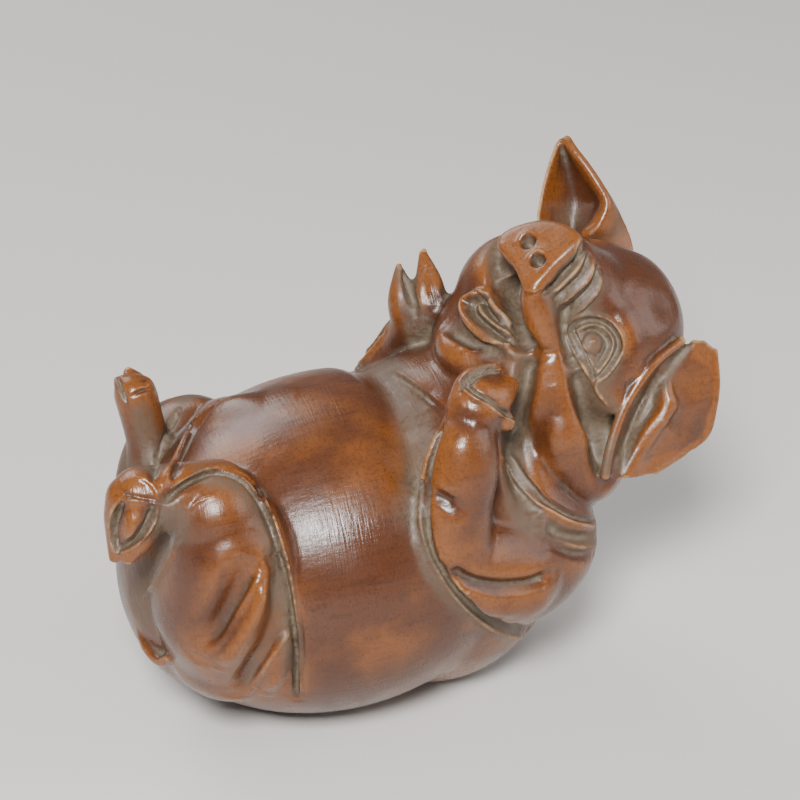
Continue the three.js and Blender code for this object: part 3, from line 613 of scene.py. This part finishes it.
FINE_GRAIN = 0.24
FINE_ROUNDS = 3
LINES = [
    ([(528, 241.5)], 1.25, -1.5, soft, None),
    ([(537.5, 260)], 1.25, -1.5, soft, None),
    ([(518, 240), (523, 234), (531, 232), (538, 236)], 0.4, 0.3, soft, None),
    ([(528, 258), (534, 252), (541, 251), (547, 256)], 0.4, 0.3, soft, None),
    ([(583, 243), (574, 262), (560, 277), (546, 291)], 0.6, -0.9, soft, HEAD_MIRROR),
    ([(585, 250), (577, 268), (564, 282), (551, 294)], 0.5, 0.5, soft, HEAD_MIRROR),
    ([(589, 256), (583, 273), (569, 287), (556, 298)], 0.5, -0.8, soft, HEAD_MIRROR),
    ([(593, 262), (588, 278), (574, 292), (559, 304)], 0.5, 0.5, soft, HEAD_MIRROR),
    ([(597, 268), (593, 284), (579, 299), (564, 311)], 0.5, -0.7, soft, HEAD_MIRROR),
    ([(600, 274), (597, 290), (583, 306), (567, 319)], 0.6, 0.5, soft, HEAD_MIRROR),
    ([(487, 292), (474, 295), (465, 303), (465, 315), (475, 328), (490, 339),
     (504, 345)], 0.9, 1.0, soft, None),
    ([(486, 300), (475, 303), (473, 311), (482, 321), (496, 332), (510, 341)], 0.6, -0.9, soft, None),
    ([(480, 304), (484, 315), (498, 328), (512, 337)], 0.5, 0.6, soft, None),
    ([(480, 294), (485, 306), (492, 315), (500, 322)], 0.5, -1.3, soft, None),
    ([(488, 296), (495, 308), (505, 320), (512, 330)], 0.6, 0.6, soft, None),
    ([(593, 345)], 3.4, -0.6, soft, HEAD_MIRROR),
    ([(564, 335), (566, 326), (575, 318), (590, 314), (607, 318), (620, 331), (624, 346), (618, 360),
     (608, 373), (598, 382)], 0.5, 0.45, soft, HEAD_MIRROR),
    ([(570, 334), (577, 325), (591, 320), (605, 324), (615, 334), (618, 346), (612, 360), (604, 371),
     (597, 378)], 0.4, -0.4, soft, HEAD_MIRROR),
    ([(576, 331), (590, 325), (602, 327), (611, 336), (613, 346), (608, 358), (600, 369),
     (595, 376)], 0.35, 0.35, soft, HEAD_MIRROR),
    ([(582, 333), (592, 329), (601, 332), (607, 340), (608, 348), (603, 358),
     (597, 366)], 0.35, -0.4, soft, HEAD_MIRROR),
    ([(571, 326), (575, 336), (580, 348), (587, 360), (592, 371),
     (594, 382)], 0.4, -0.5, soft, HEAD_MIRROR),
    ([(565, 330), (569, 341), (575, 353), (583, 366), (590, 378)], 0.45, 0.35, soft, HEAD_MIRROR),
    ([(578, 332), (581, 343), (586, 354), (592, 364)], 0.35, 0.25, soft, HEAD_MIRROR),
    ([(593, 343)], 1.5, 0.9, domed, HEAD_MIRROR),
    ([(593, 342)], 0.6, 0.25, soft, HEAD_MIRROR),
    ([(594, 383), (600, 395), (609, 406)], 0.5, 0.4, soft, HEAD_MIRROR),
    ([(461, 389), (466, 378), (475, 371), (488, 367), (500, 366)], 0.5, -0.8, soft, None),
    ([(468, 386), (476, 377), (490, 372), (503, 372)], 0.5, -0.6, soft, None),
    ([(467, 386), (475, 393), (487, 400), (500, 410), (514, 418)], 0.45, -0.5, soft, None),
    ([(464, 390), (473, 397), (485, 404), (498, 413), (512, 421)], 0.45, 0.5, soft, None),
    ([(168, 499), (176, 490), (192, 480), (210, 473), (228, 474), (244, 482), (256, 496), (265, 512),
     (272, 529), (279, 552), (283, 568)], 0.7, -0.7, sharp, None),
    ([(170, 493), (178, 484), (194, 475), (211, 469), (229, 469), (246, 477), (259, 491), (268, 508),
     (276, 526), (283, 550), (287, 566)], 0.45, 0.35, soft, None),
    ([(279, 554), (284, 571), (291, 606), (296, 641), (297, 668),
     (297, 694)], 0.7, -0.7, sharp, BODY_MIRROR),
    ([(283, 552), (288, 569), (295, 605), (300, 641), (301, 668),
     (301, 694)], 0.45, 0.4, soft, BODY_MIRROR),
    ([(260, 576), (249, 594), (237, 614), (223, 638), (208, 652)], 0.8, 0.4, soft, None),
    ([(252, 574), (241, 592), (229, 612), (213, 638), (200, 652)], 2.2, -0.3, soft, None),
    ([(290, 630), (277, 649), (263, 670), (248, 692)], 0.8, 0.4, soft, None),
    ([(281, 628), (268, 647), (254, 668), (240, 688)], 1.8, -0.3, soft, None),
    ([(180, 528), (174, 552), (160, 577), (146, 597)], 0.7, 0.45, soft, None),
    ([(189, 510), (198, 502), (212, 496)], 0.4, 0.25, soft, None),
    ([(214, 404), (203, 416), (191, 436), (180, 460), (171, 482)], 0.9, -0.45, soft, None),
    ([(199, 415), (192, 424), (185, 436), (174, 459), (165, 481)], 0.6, 0.3, soft, None),
    ([(178, 412), (167, 434), (158, 458), (152, 478)], 0.7, -0.6, soft, None),
    ([(189, 432), (184, 445), (179, 456)], 0.35, 0.3, soft, None),
    ([(673, 414), (680, 430), (688, 444)], 1.6, -0.6, soft, None),
    ([(529, 292), (540, 289)], 0.8, 0.4, soft, None),
    ([(440, 430), (426, 468), (421, 518), (426, 547), (439, 575), (455, 598), (480, 622), (510, 636),
     (545, 637)], 0.6, 0.5, soft, BODY_MIRROR),
    ([(398, 376), (420, 392), (446, 414)], 0.9, -0.3, soft, None),
    ([(396, 371), (420, 387), (448, 409)], 0.5, 0.2, soft, None),
    ([(503, 458), (516, 480), (534, 500), (549, 510), (572, 522), (600, 526),
     (620, 518)], 0.5, 0.35, soft, BODY_MIRROR),
    ([(509, 453), (522, 475), (540, 496), (554, 506), (576, 517), (600, 521),
     (618, 514)], 0.7, -0.5, soft, BODY_MIRROR),
    ([(121, 498), (113, 512), (110, 530), (113, 546), (120, 552), (138, 542), (150, 528), (156, 515),
     (155, 504), (140, 500), (124, 498)], 0.5, 0.5, soft, None),
    ([(120, 507), (114, 522), (113, 537), (117, 547)], 0.8, -1.1, soft, None),
    ([(152, 510), (148, 522), (137, 538), (122, 549)], 0.8, -1.1, soft, None),
    ([(133, 512), (131, 526), (126, 540)], 1.4, 0.4, soft, None),
    ([(122, 494), (132, 497), (146, 500), (157, 502)], 0.4, -0.4, soft, None),
    ([(137, 477), (148, 482), (156, 491), (158, 502)], 0.4, 0.4, soft, None),
    ([(133, 396), (141, 391), (153, 388)], 0.4, -0.4, soft, None),
    ([(141, 374), (150, 383)], 2.4, -1.2, soft, None),
    ([(117, 374), (121, 390), (127, 403)], 0.45, -0.8, sharp, None),
    ([(404, 262), (408, 285), (416, 312)], 0.9, -0.8, soft, None),
    ([(428, 262), (432, 282), (430, 305)], 1.9, -0.6, soft, None),
]

skin = fused([masses, disc, *ears, tail], grain=FINE_GRAIN, rounds=FINE_ROUNDS)
skin = carved(skin, LINES)
bmesh.ops.translate(skin, verts=skin.verts, vec=(0, 0, -RESTING_FLAT))
for vertex in skin.verts:
    vertex.co.z = max(vertex.co.z, 0)
bmesh.ops.scale(skin, verts=skin.verts, vec=(MM, MM, MM))

# Carved block
# The one piece of wood: the finished skin, resting on its flat back.
# It has fewer faces on the smooth swellings than along the lines.

MOST_TRIANGLES = 192_000

pig_mesh = bpy.data.meshes.new("carved_pig")
skin.to_mesh(pig_mesh)
skin.free()
rough_pig = bpy.data.objects.new("rough_pig", pig_mesh)
bpy.context.scene.collection.objects.link(rough_pig)
thinning = rough_pig.modifiers.new("thinning", "DECIMATE")
triangles = sum(len(polygon.vertices) - 2 for polygon in pig_mesh.polygons)
thinning.ratio = min(1, MOST_TRIANGLES / triangles)
thinned = bmesh.new()
thinned.from_object(rough_pig, bpy.context.evaluated_depsgraph_get())
bpy.data.objects.remove(rough_pig)
pig_mesh.clear_geometry()
thinned.to_mesh(pig_mesh)
thinned.free()
for polygon in pig_mesh.polygons:
    polygon.use_smooth = True
pig = bpy.data.objects.new("carved_pig", pig_mesh)
bpy.context.scene.collection.objects.link(pig)

# Hollows, edges, swellings and dust
# Dust settles where the surface is shut in, and shade is painted dark into the same hollows. Handling wears
# the ridges and polishes the swellings, whose orange is partly painted light.
# Each vertex carries how deep it lies, how sharply and how broadly it stands out, and the dust that is seen.

BROAD_REACH = 5.0
NARROW_REACH = 1.1
START_OFF = 0.06
RAYS = 20
SMOOTHINGS = 2
SWELLING_SMOOTHINGS = 24
BROAD_SHARE = 1.5
NARROW_SHARE = 1.2
VALLEY_SHARE = 0.5
LEAST_VALLEY = 0.15
LEAST_EDGE = 0.5
EDGE_SHARE = 0.8
LEAST_SWELLING = 0.05
SWELLING_SPAN = 0.16
FILM_STRIDE = 3


def sheltered(mesh):
    """The shares of the sky shut off close by and farther away, over each vertex."""
    closed = BVHTree.FromPolygons([v.co / MM for v in mesh.vertices], [p.vertices for p in mesh.polygons])
    golden = math.pi * (3 - math.sqrt(5))
    sky = []
    for k in range(RAYS):
        rise = math.sqrt((k + 0.5) / RAYS)
        reach = math.sqrt(1 - rise**2)
        sky.append(Vector((reach * math.cos(golden * k), reach * math.sin(golden * k), rise)))
    near = np.zeros(len(mesh.vertices))
    wide = np.zeros(len(mesh.vertices))
    up = Vector((0, 0, 1))
    for vertex in mesh.vertices:
        turned = up.rotation_difference(vertex.normal)
        start = vertex.co / MM + vertex.normal * START_OFF
        for way in sky:
            distance = closed.ray_cast(start, turned @ way, BROAD_REACH)[3]
            if distance is not None:
                wide[vertex.index] += 1 - distance / BROAD_REACH
                near[vertex.index] += max(0, 1 - distance / NARROW_REACH)
    return near / RAYS, wide / RAYS


def spread(values, pairs, rounds):
    """Values averaged with those of the neighbouring vertices."""
    for _ in range(rounds):
        total = values.copy()
        count = np.ones(len(values))
        for one, other in ((0, 1), (1, 0)):
            np.add.at(total, pairs[:, one], values[pairs[:, other]])
            np.add.at(count, pairs[:, one], 1)
        values = total / count
    return values


def bending(mesh, pairs):
    """How sharply the surface bends at each vertex, in turns per millimetre, positive on ridges."""
    places = np.array([v.co / MM for v in mesh.vertices])
    normals = np.array([v.normal for v in mesh.vertices])
    apart = places[pairs[:, 0]] - places[pairs[:, 1]]
    swing = normals[pairs[:, 0]] - normals[pairs[:, 1]]
    bend = np.sum(apart * swing, axis=1) / np.maximum(np.sum(apart**2, axis=1), 1e-3)
    total = np.zeros(len(places))
    count = np.zeros(len(places))
    for end in (0, 1):
        np.add.at(total, pairs[:, end], bend)
        np.add.at(count, pairs[:, end], 1)
    return total / np.maximum(count, 1)


def settled(mesh, films):
    """How thickly dust lies on each vertex, by the lines of pixels along which the photograph shows it."""
    places = np.array([v.co / MM for v in mesh.vertices]) + (0, 0, RESTING_FLAT)
    surface = BVHTree.FromPolygons(places.tolist(), [p.vertices for p in mesh.polygons])
    grains = searchable(places)
    thickness = np.zeros(len(places))
    for pixels, width, most, mirror in films:
        lines = both_sides(pixels, mirror, surface)
        for middle, _ in [sample for line in lines for sample in line[::FILM_STRIDE]]:
            for _, index, distance in grains.find_range(middle, width):
                thickness[index] = max(thickness[index], most * soft(distance / width))
    return thickness


FILMS = [
    ([(580, 325), (592, 345), (600, 368)], 5.2, 1.0, HEAD_MIRROR),
    ([(590, 382), (603, 408), (606, 440), (606, 466)], 3.4, 0.9, None),
    ([(566, 322), (572, 350), (578, 378), (590, 412), (600, 450)], 2.6, 0.9, None),
    ([(580, 262), (568, 284), (556, 302)], 3.6, 0.9, HEAD_MIRROR),
    ([(598, 285), (585, 303), (568, 318)], 2.6, 0.8, HEAD_MIRROR),
    ([(497, 252), (505, 280), (514, 310), (523, 345)], 3.2, 1.0, None),
    ([(484, 308), (500, 330)], 3.4, 0.9, None),
    ([(455, 328), (480, 342), (505, 350)], 2.0, 0.7, None),
    ([(492, 352), (513, 358), (530, 364)], 2.0, 0.9, None),
    ([(523, 370), (519, 400), (521, 430), (512, 455)], 3.0, 1.0, None),
    ([(466, 386), (476, 374), (494, 369)], 1.4, 0.9, None),
    ([(470, 390), (490, 404), (512, 419)], 1.0, 0.8, None),
    ([(506, 440), (510, 470), (516, 500), (530, 522)], 4.2, 1.0, None),
    ([(392, 375), (412, 410), (420, 460), (414, 510)], 4.2, 0.85, BODY_MIRROR),
    ([(418, 530), (430, 565), (452, 598), (484, 622), (520, 632)], 2.4, 0.9, BODY_MIRROR),
    ([(545, 528), (580, 540), (612, 532)], 3.0, 0.8, BODY_MIRROR),
    ([(200, 478), (230, 482), (250, 500), (268, 535), (278, 575), (287, 620),
     (291, 660)], 2.6, 0.8, BODY_MIRROR),
    ([(270, 590), (271, 622), (262, 652), (246, 684)], 1.6, 0.4, BODY_MIRROR),
    ([(168, 520), (165, 555), (148, 585), (138, 606)], 4.6, 0.9, BODY_MIRROR),
    ([(142, 412), (148, 440), (150, 470)], 2.6, 0.9, None),
    ([(178, 412), (165, 440), (156, 472)], 2.0, 0.8, None),
    ([(115, 515), (116, 545), (140, 532), (152, 512)], 1.3, 0.8, None),
    ([(117, 378), (124, 400)], 1.0, 0.9, None),
    ([(684, 345), (660, 385), (635, 430), (618, 468)], 1.8, 0.9, None),
    ([(560, 216), (574, 212), (586, 226)], 2.8, 0.6, None),
    ([(616, 236), (622, 215)], 3.2, 0.5, None),
    ([(404, 262), (412, 300), (420, 340)], 3.0, 0.9, None),
]

pairs = np.array([e.vertices for e in pig_mesh.edges])
narrow, broad = sheltered(pig_mesh)
bend = spread(bending(pig_mesh, pairs), pairs, SMOOTHINGS)
valley = np.clip(-bend - LEAST_VALLEY, 0, 1)
hollow = np.clip(BROAD_SHARE * broad + NARROW_SHARE * narrow + valley * VALLEY_SHARE, 0, 1)
swelling = spread(bend, pairs, SWELLING_SMOOTHINGS)
shares = {
    "hollow": spread(hollow, pairs, 1),
    "edge": np.clip((bend - LEAST_EDGE) * EDGE_SHARE, 0, 1),
    "raised": np.clip((swelling - LEAST_SWELLING) / SWELLING_SPAN, 0, 1),
    "film": spread(settled(pig_mesh, FILMS), pairs, SMOOTHINGS),
}
for name, values in shares.items():
    attribute = pig_mesh.attributes.new(name, "FLOAT", "POINT")
    attribute.data.foreach_set("value", values.astype(np.float32))

# Finish of the wood
# Old polished boxwood: reddish brown with orange swellings that partly paint the light they catch, painted
# dark shade and grey dust in the hollows, and pale worn ridges.
# Scales and stretches count waves of noise in a millimetre.
# A band is the low and high value of what comes in, then the bottom and top of what it is brought to.

DEEP_BROWN = (0.022, 0.007, 0.004, 1)
RED_BROWN = (0.066, 0.020, 0.008, 1)
ORANGE_BROWN = (0.200, 0.063, 0.011, 1)
DUST = (0.128, 0.096, 0.062, 1)
THIN_DUST = (0.088, 0.056, 0.034, 1)
WORN = (0.40, 0.23, 0.10, 1)
WOOD_IOR = 1.47
WOOD_SPECULAR = 0.6

CLOUD_SCALE = 0.085
PATCH_SCALE = 0.35
SPECKLE_SCALE = 2.6
POWDER_SCALE = 1.6
HANDLED_SCALE = 0.22
MARKED_SCALE = 0.06
GRAIN_STRETCH = (0.12, 1.2, 1.2)
TOOL_STRETCH = (3.2, 0.25, 0.35)

ORANGE_BAND = (0.44, 0.70, 0.1, 0.8)
SPECKLE_BAND = (0.45, 0.75, 0.0, 0.45)
GRAIN_BAND = (0.50, 0.72, 0.0, 0.30)
HOLLOW_SHADE_BAND = (0.08, 0.50, 0.0, 0.75)
POWDER_BAND = (0.35, 0.62, 0.45, 1.0)
FILM_BAND = (0.0, 0.8)
EDGE_BAND = (0.1, 0.8)
WORN_BAND = (0.35, 0.6, 0.25, 0.75)
CAUGHT_BAND = (0.22, 0.85)
DUST_BAND = (0.30, 0.60, 0.7, 1.0)
HANDLED_BAND = (0.3, 0.7, 0.24, 0.34)
MARKED_BAND = (0.40, 0.60, 0.5, 1.6)

RAISED_SHARE = 0.9
CAUGHT_FILM = 0.25
DUST_ROUGHNESS = 0.34
FINE_STRENGTH = 0.35
FINE_DEPTH = 0.12 * MM
PORE_STRENGTH = 0.25
PORE_DEPTH = 0.06 * MM

wood = bpy.data.materials.new("polished_boxwood")
wood.use_nodes = True
tree = wood.node_tree
wood_shader = tree.nodes["Principled BSDF"]
wood_shader.inputs["IOR"].default_value = WOOD_IOR
wood_shader.inputs["Specular IOR Level"].default_value = WOOD_SPECULAR


def node(kind, settings=None, **inputs):
    """A new node, with its settings and the values or links of its inputs, by name or as i and a number."""
    made = tree.nodes.new(kind)
    for key, value in (settings or {}).items():
        setattr(made, key, value)
    for key, value in inputs.items():
        numbered = key[0] == "i" and key[1:].isdigit()
        socket = made.inputs[int(key[1:])] if numbered else made.inputs[key]
        if isinstance(value, bpy.types.NodeSocket):
            tree.links.new(value, socket)
        else:
            socket.default_value = value
    return made


def millimetres(stretch):
    """Object coordinates counted in millimetres, stretched along each axis."""
    place = node("ShaderNodeTexCoord").outputs["Object"]
    factors = [share / MM for share in stretch]
    return node("ShaderNodeVectorMath", {"operation": "MULTIPLY"}, i0=place, i1=factors).outputs[0]


def noise(scale, stretch=(1, 1, 1), detail=3.0, rough=0.5):
    """Clouds of noise from 0 to 1 through the wood."""
    place = millimetres(stretch)
    made = node("ShaderNodeTexNoise", Vector=place, Scale=scale, Detail=detail, Roughness=rough)
    return made.outputs["Fac"]


def banded(value, low, high, bottom=0.0, top=1.0):
    """A value brought from low..high to bottom..top, and held there."""
    smooth = {"interpolation_type": "SMOOTHSTEP"}
    return node("ShaderNodeMapRange", smooth, Value=value, i1=low, i2=high, i3=bottom, i4=top).outputs[0]


def blend(share, under, over):
    """One colour laid over another by its share."""
    mix = node("ShaderNodeMix", {"data_type": "RGBA"}, i0=share, i6=under, i7=over)
    return mix.outputs[2]


def maths(operation, one, other):
    """Two values put together by a sum of that name."""
    return node("ShaderNodeMath", {"operation": operation}, i0=one, i1=other).outputs[0]


def carried_share(name):
    """The share of that name that each vertex carries."""
    return node("ShaderNodeAttribute", {"attribute_name": name}).outputs["Fac"]


hollow_here = carried_share("hollow")
edge_here = carried_share("edge")
raised_here = carried_share("raised")
film_here = carried_share("film")
clouds = noise(CLOUD_SCALE, detail=4.0)
speckle = noise(SPECKLE_SCALE, detail=2.0, rough=0.7)
grain = noise(1.0, stretch=GRAIN_STRETCH, detail=5.0, rough=0.6)
patches = noise(PATCH_SCALE, detail=3.0)
powder = banded(noise(POWDER_SCALE, detail=4.0, rough=0.7), *POWDER_BAND)

# Orange clouds are the wood's own tone. The orange on the swellings is partly their polish and partly
# painted light that they catch.
orange_and_light_share = maths("MAXIMUM", banded(clouds, *ORANGE_BAND), maths("MULTIPLY", raised_here, RAISED_SHARE))
wood_colour = blend(orange_and_light_share, RED_BROWN, ORANGE_BROWN)
wood_colour = blend(banded(speckle, *SPECKLE_BAND), wood_colour, DEEP_BROWN)
wood_colour = blend(banded(grain, *GRAIN_BAND), wood_colour, DEEP_BROWN)
# Painted shade: the hollows are darkened towards deep brown, where shade would fall in them.
wood_colour = blend(banded(hollow_here, *HOLLOW_SHADE_BAND), wood_colour, DEEP_BROWN)
thin_share = maths("MULTIPLY", banded(film_here, *FILM_BAND), powder)
wood_colour = blend(thin_share, wood_colour, THIN_DUST)
worn_share = maths("MULTIPLY", banded(edge_here, *EDGE_BAND), banded(patches, *WORN_BAND))
wood_colour = blend(worn_share, wood_colour, WORN)
caught = banded(maths("ADD", hollow_here, maths("MULTIPLY", film_here, CAUGHT_FILM)), *CAUGHT_BAND)
dust_share = maths("MULTIPLY", caught, maths("MULTIPLY", powder, banded(patches, *DUST_BAND)))
wood_colour = blend(dust_share, wood_colour, DUST)
tree.links.new(wood_colour, wood_shader.inputs["Base Color"])

handled = banded(noise(HANDLED_SCALE, detail=4.0), *HANDLED_BAND)
dusty = maths("MULTIPLY", maths("MAXIMUM", dust_share, thin_share), DUST_ROUGHNESS)
tree.links.new(maths("ADD", handled, dusty), wood_shader.inputs["Roughness"])

tool_marks = noise(1.0, stretch=TOOL_STRETCH, detail=3.0, rough=0.6)
marked = maths("MULTIPLY", tool_marks, banded(noise(MARKED_SCALE), *MARKED_BAND))
surface_height = maths("ADD", grain, marked)
fine_bump = node("ShaderNodeBump", Height=surface_height, Strength=FINE_STRENGTH, Distance=FINE_DEPTH)
pore_bump = node("ShaderNodeBump", Height=speckle, Strength=PORE_STRENGTH, Distance=PORE_DEPTH)
tree.links.new(fine_bump.outputs[0], pore_bump.inputs["Normal"])
tree.links.new(pore_bump.outputs[0], wood_shader.inputs["Normal"])
pig.data.materials.append(wood)

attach(pig, "root")
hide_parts("boxwood_pig")
